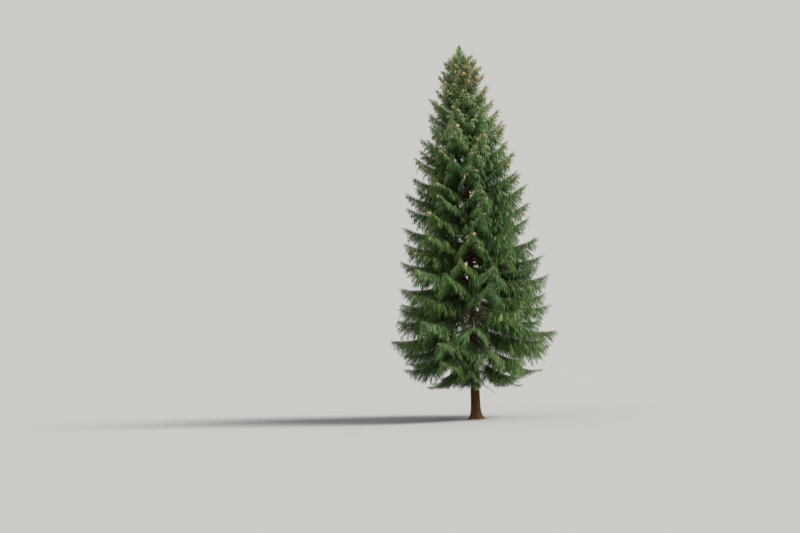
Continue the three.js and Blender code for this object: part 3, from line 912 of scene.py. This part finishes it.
# The outer sprays get the lighter colours, partly for their younger needles and partly as painted
# light, and the inner sprays the darker ones, partly for their older needles and partly as painted
# shade. Neighbours on a bough get similar ones.
NEEDLE_COLOURS = {
    "needles_inner": (0.050, 0.088, 0.022, 1),
    "needles_deep_blue": (0.050, 0.120, 0.040, 1),
    "needles_deep": (0.060, 0.124, 0.031, 1),
    "needles_blue": (0.084, 0.178, 0.057, 1),
    "needles_green": (0.098, 0.186, 0.045, 1),
    "needles_fresh_blue": (0.128, 0.240, 0.084, 1),
    "needles_fresh": (0.146, 0.248, 0.070, 1),
    "needles_pale": (0.270, 0.375, 0.165, 1),
}
NEEDLE_SHINE = 0.2
LEVEL_STARTS = (1 / 8, 3 / 8, 5 / 8, 7 / 8)
masses = [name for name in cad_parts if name.startswith("needles_")]
rank = np.argsort(np.argsort(glow)) / len(glow)
level = np.searchsorted(LEVEL_STARTS, rank)
dealt = np.array_split(np.lexsort((hue, level)), len(NEEDLE_COLOURS))

for (name, colour), chosen in zip(NEEDLE_COLOURS.items(), dealt):
    green = Finish(name, roughness=0.7)
    green.show("Base Color", colour)
    green.show("Specular IOR Level", NEEDLE_SHINE)
    batches = []
    for pattern_kind, pattern in enumerate(patterns):
        some = chosen[kind[chosen] == pattern_kind]
        unit = corners_of(pattern)[None]
        corners = (
            root[some][:, None] + unit[..., 0, None] * ahead[some][:, None]
            + unit[..., 1, None] * turned[some][:, None] + unit[..., 2, None] * lifted[some][:, None])
        batches.append((pattern, corners[stays_inside(corners, slack[some]) & ~shows_trunk(corners)]))
    needles = copies(name, green, *batches)
    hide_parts(*masses)

# Cones hang from the ends of the high side branches, in bunches. They are tan, and made of scales
# that lie over each other like roof tiles.
CONE_LENGTH = 0.18
CONE_LENGTH_PLAY = 0.15
CONE_WIDTH = 0.25
CONES_IN_BUNCH = 5
CONE_PLACES = (0.6, 1.0)
CONE_PLACE_PLAY = 0.4
BUNCH_PLACE = 0.95
CONE_HEIGHTS = (8.0, 12.0, 15.8, 16.8, 21.0)
CONE_CHANCES = (0.0, 0.08, 0.13, 0.19, 0.26)
CONES_FROM = 0.55
CONE_SIDES = 6
CONE_RINGS = 6
SCALE_EDGE = 1.1
SCALE_ROOT = 0.85

bpy.ops.object.select_all(action="DESELECT")
bpy.ops.mesh.primitive_uv_sphere_add(
    segments=CONE_SIDES, ring_count=CONE_RINGS, radius=0.5, location=(0, 0, -0.5))
bpy.ops.object.transform_apply(location=True)
cone = bpy.context.object
corners = corners_of(cone)
ring = (np.cos(np.pi * np.arange(CONE_RINGS + 1) / CONE_RINGS) - 1) / 2
step = np.abs(corners[:, 2, None] - ring[None]).argmin(axis=1)
twist = step * np.pi / CONE_SIDES
wide = CONE_WIDTH * np.where(step % 2 == 0, SCALE_EDGE, SCALE_ROOT)
x = corners[:, 0] * np.cos(twist) - corners[:, 1] * np.sin(twist)
y = corners[:, 0] * np.sin(twist) + corners[:, 1] * np.cos(twist)
set_corners(cone, np.stack([x * wide, y * wide, corners[:, 2]], axis=1))

tips = sides.point(np.arange(len(parent)), np.full(len(parent), BUNCH_PLACE))
chance = np.interp(tips[:, 2], CONE_HEIGHTS, CONE_CHANCES) * (outerness(tips) > CONES_FROM)
chance *= kept & (grown == 1)
bearers = np.flatnonzero(chance_of(parent, order, 51) < chance)
bunch, nth = shared_out(bearers, CONES_IN_BUNCH)
place = (nth + 0.5 + CONE_PLACE_PLAY * stray(bunch, nth, 52)) / CONES_IN_BUNCH
stalk = sides.point(bunch, between(CONE_PLACES, place))
size = CONE_LENGTH * (1 + CONE_LENGTH_PLAY * stray(bunch, nth, 55))
hang = unit_vectors(np.stack([stray(bunch, nth, 56), stray(bunch, nth, 57), -np.ones(len(nth))], axis=1))
aside = unit_vectors(np.cross(hang, (0, 1, 0)))
front = np.cross(aside, hang)
unit = corners_of(cone)[None] * size[:, None, None]
cone_corners = (
    stalk[:, None] + unit[..., 0, None] * aside[:, None] + unit[..., 1, None] * front[:, None]
    - unit[..., 2, None] * hang[:, None])

BROWN_SCALE = (0.32, 0.19, 0.09, 1)
TAN_SCALE = (0.70, 0.52, 0.32, 1)
SCALE_TONES = {"scale": 45, "detail": 3}
SCALE_LEVELS = (0.3, 0.7)
SCALE_BUMP = 0.006
cone_scales = Finish("cone_scales", roughness=0.7)
scale_tone = cone_scales.blotches(**SCALE_TONES)
tan_share = scale_tone.rising(*SCALE_LEVELS)
cone_scales.show("Base Color", cone_scales.mix(tan_share, BROWN_SCALE, TAN_SCALE))
cone_scales.bump(scale_tone, SCALE_BUMP)
cones = copies("cones", cone_scales, (cone, cone_corners[stays_inside(cone_corners)]))

# Dead twigs stay on the trunk below the green boughs, and on the shaded inner part of the low ones.
# They are dry and brittle, and grey with lichen.
TRUNK_TWIGS = 110
TRUNK_TWIG_HEIGHTS = (1.9, 7.4)
TRUNK_TWIG_TURN_PLAY = 0.5
TRUNK_TWIG_CLIMB = -0.15
TRUNK_TWIG_CLIMB_PLAY = 0.3
TRUNK_TWIG_LENGTHS = (0.6, 1.6)
TWIG_DEPTH = 0.01
SHADED_UP_TO = 0.32
BOUGH_TWIGS = 8
BOUGH_TWIG_PLACES = (0.08, 0.42)
BOUGH_TWIG_TURN = 1.0
BOUGH_TWIG_TURN_PLAY = 0.3
BOUGH_TWIG_TILT = -0.35
BOUGH_TWIG_TILT_PLAY = 0.3
BOUGH_TWIG_LENGTHS = (0.3, 0.9)
DEAD_SAG = -0.15
DEAD_SAG_PLAY = 0.12
DEAD_RADIUS = 0.009
TWIGLETS = 6
TWIGLETS_FROM = 0.25
TWIGLET_TURN = 0.8
TWIGLET_TURN_PLAY = 0.2
TWIGLET_TILT = -0.25
TWIGLET_TILT_PLAY = 0.3
TWIGLET_LENGTH = 0.45
TWIGLET_SHORTENING = 1.1
TWIGLET_SAG = -0.2
TWIGLET_RADIUS = 0.0045

nth = np.arange(TRUNK_TWIGS)
height = between(TRUNK_TWIG_HEIGHTS, (nth + 0.5) / TRUNK_TWIGS)
turn = nth * GOLDEN_TURN + TRUNK_TWIG_TURN_PLAY * stray(nth, 1, 71)
out = np.stack([np.cos(turn), np.sin(turn), 0 * turn], axis=1)
trunk_root = round_trunk(turn, trunk_radius(height) - TWIG_DEPTH, height)
climb = TRUNK_TWIG_CLIMB + TRUNK_TWIG_CLIMB_PLAY * stray(nth, 2, 72)
trunk_direction = out + UP * climb[:, None]
trunk_length = between(TRUNK_TWIG_LENGTHS, chance_of(nth, 3, 73))

bough, nth = shared_out(np.flatnonzero(share_up < SHADED_UP_TO), BOUGH_TWIGS)
t = between(BOUGH_TWIG_PLACES, (nth + 0.5) / BOUGH_TWIGS)
along, across, _ = bough_axes(bough, t)
turn = either_side(nth) * (BOUGH_TWIG_TURN + BOUGH_TWIG_TURN_PLAY * stray(bough, nth, 74))
tilt = BOUGH_TWIG_TILT - BOUGH_TWIG_TILT_PLAY * stray(bough, nth, 75)
bough_direction = pointing(along, across, turn, UP, tilt)
bough_length = between(BOUGH_TWIG_LENGTHS, chance_of(bough, nth, 76))

root = np.concatenate([trunk_root, bough_point(bough, t)])
twigs = np.arange(len(root))
dead = Twigs(
    root, unit_vectors(np.concatenate([trunk_direction, bough_direction])),
    np.concatenate([trunk_length, bough_length]), DEAD_SAG + DEAD_SAG_PLAY * stray(twigs, 4, 77))
carrier, nth = shared_out(twigs, TWIGLETS)
s = TWIGLETS_FROM + (1 - TWIGLETS_FROM) * (nth + 0.5) / TWIGLETS
along, across, _ = dead.axes(carrier, s)
turn = either_side(nth) * (TWIGLET_TURN + TWIGLET_TURN_PLAY * stray(carrier, nth, 78))
tilt = TWIGLET_TILT + TWIGLET_TILT_PLAY * stray(carrier, nth, 79)
twiglets = Twigs(
    dead.point(carrier, s), pointing(along, across, turn, UP, tilt),
    dead.length[carrier] * TWIGLET_LENGTH * (TWIGLET_SHORTENING - s), np.full(len(s), TWIGLET_SAG))

DRY_WOOD = (0.22, 0.17, 0.11, 1)
GREY_LICHEN = (0.36, 0.33, 0.23, 1)
GREY_PATCHES = {"scale": 11, "detail": 3}
GREY_LEVELS = (0.4, 0.65)
dead_wood = Finish("dead_wood", roughness=0.95)
grey_share = dead_wood.blotches(**GREY_PATCHES).rising(*GREY_LEVELS)
dead_wood.show("Base Color", dead_wood.mix(grey_share, DRY_WOOD, GREY_LICHEN))
dead_corners = np.concatenate([
    dead.rods(side_rod, np.full(len(twigs), DEAD_RADIUS)),
    twiglets.rods(side_rod, np.full(len(carrier), TWIGLET_RADIUS))])
dead_twigs = copies("dead_twigs", dead_wood, (side_rod, dead_corners))

# The patterns that everything was copied from are put away
for pattern in (bough_rod, side_rod, hanging, fan, tuft, cone):
    bpy.data.objects.remove(pattern)

# The studio has a plain pale floor, which is as bright as the backdrop that it runs into. The light
# is soft, and comes from the backdrop and from a wide lamp, high on the right and a little in front.
FLOOR_RADIUS = 400
FLOOR_SIDES = 128
FLOOR_COLOUR = (0.341, 0.346, 0.351, 1)
BACKDROP_COLOUR = (1.0, 0.99, 0.96, 1)
BACKDROP_STRENGTH = 0.60
LAMP_TURNS = (48, 14, 55)
LAMP_COLOUR = (1.0, 0.97, 0.92)
LAMP_STRENGTH = 5.6
LAMP_WIDTH = 25

bpy.ops.object.select_all(action="DESELECT")
bpy.ops.mesh.primitive_circle_add(vertices=FLOOR_SIDES, radius=FLOOR_RADIUS, fill_type="NGON")
floor = bpy.context.object
floor.name = "floor"
pale = Finish("pale_floor", roughness=1.0)
pale.show("Base Color", FLOOR_COLOUR)
pale.show("Specular IOR Level", 0.0)
floor.data.materials.append(pale.material)

world = bpy.data.worlds.new("studio")
world.use_nodes = True
backdrop = world.node_tree.nodes["Background"]
backdrop.inputs["Color"].default_value = BACKDROP_COLOUR
backdrop.inputs["Strength"].default_value = BACKDROP_STRENGTH
bpy.context.scene.world = world
bpy.ops.object.light_add(type="SUN", rotation=[math.radians(turned_by) for turned_by in LAMP_TURNS])
lamp = bpy.context.object
lamp.data.energy = LAMP_STRENGTH
lamp.data.angle = math.radians(LAMP_WIDTH)
lamp.data.color = LAMP_COLOUR

# The camera stands down the slope in front of the tree, and is held a little crooked, so that the
# foot and the tip of the tree come where the photograph has them.
IMAGE = (800, 533)
FOOT_PIXEL = (476, 419)
TIP_PIXEL = (459, 45)
LENS = 50.0
SENSOR = 36.0
EYE_HEIGHT = 3.5
DISTANCES = (40.0, 120.0)
HALVINGS = 60
SIGHT = 2000
focal = LENS / SENSOR * IMAGE[0]


def ray(pixel):
    """The direction of a pixel as the camera sees it: right, up and towards its back."""
    return Vector((pixel[0] - IMAGE[0] / 2, IMAGE[1] / 2 - pixel[1], -focal)).normalized()


foot_ray = ray(FOOT_PIXEL)
tip_ray = ray(TIP_PIXEL)
seen_angle = foot_ray.angle(tip_ray)
near, far = DISTANCES
for _ in range(HALVINGS):
    distance = (near + far) / 2
    eye = Vector((0, -distance, EYE_HEIGHT))
    angle = (Vector((0, 0, 0)) - eye).angle(Vector((0, 0, TREE_HEIGHT)) - eye)
    near, far = (distance, far) if angle > seen_angle else (near, distance)


def axes_from(first, second):
    across = first.cross(second).normalized()
    return Matrix((first, across, first.cross(across))).transposed()


to_foot = (Vector((0, 0, 0)) - eye).normalized()
to_tip = (Vector((0, 0, TREE_HEIGHT)) - eye).normalized()
turned = axes_from(to_foot, to_tip) @ axes_from(foot_ray, tip_ray).transposed()
bpy.ops.object.camera_add(location=eye)
camera = bpy.context.object
camera.matrix_world = Matrix.Translation(eye) @ turned.to_4x4()
camera.data.lens = LENS
camera.data.sensor_width = SENSOR
camera.data.clip_end = SIGHT
bpy.context.scene.camera = camera
bpy.context.scene.view_settings.view_transform = "Standard"
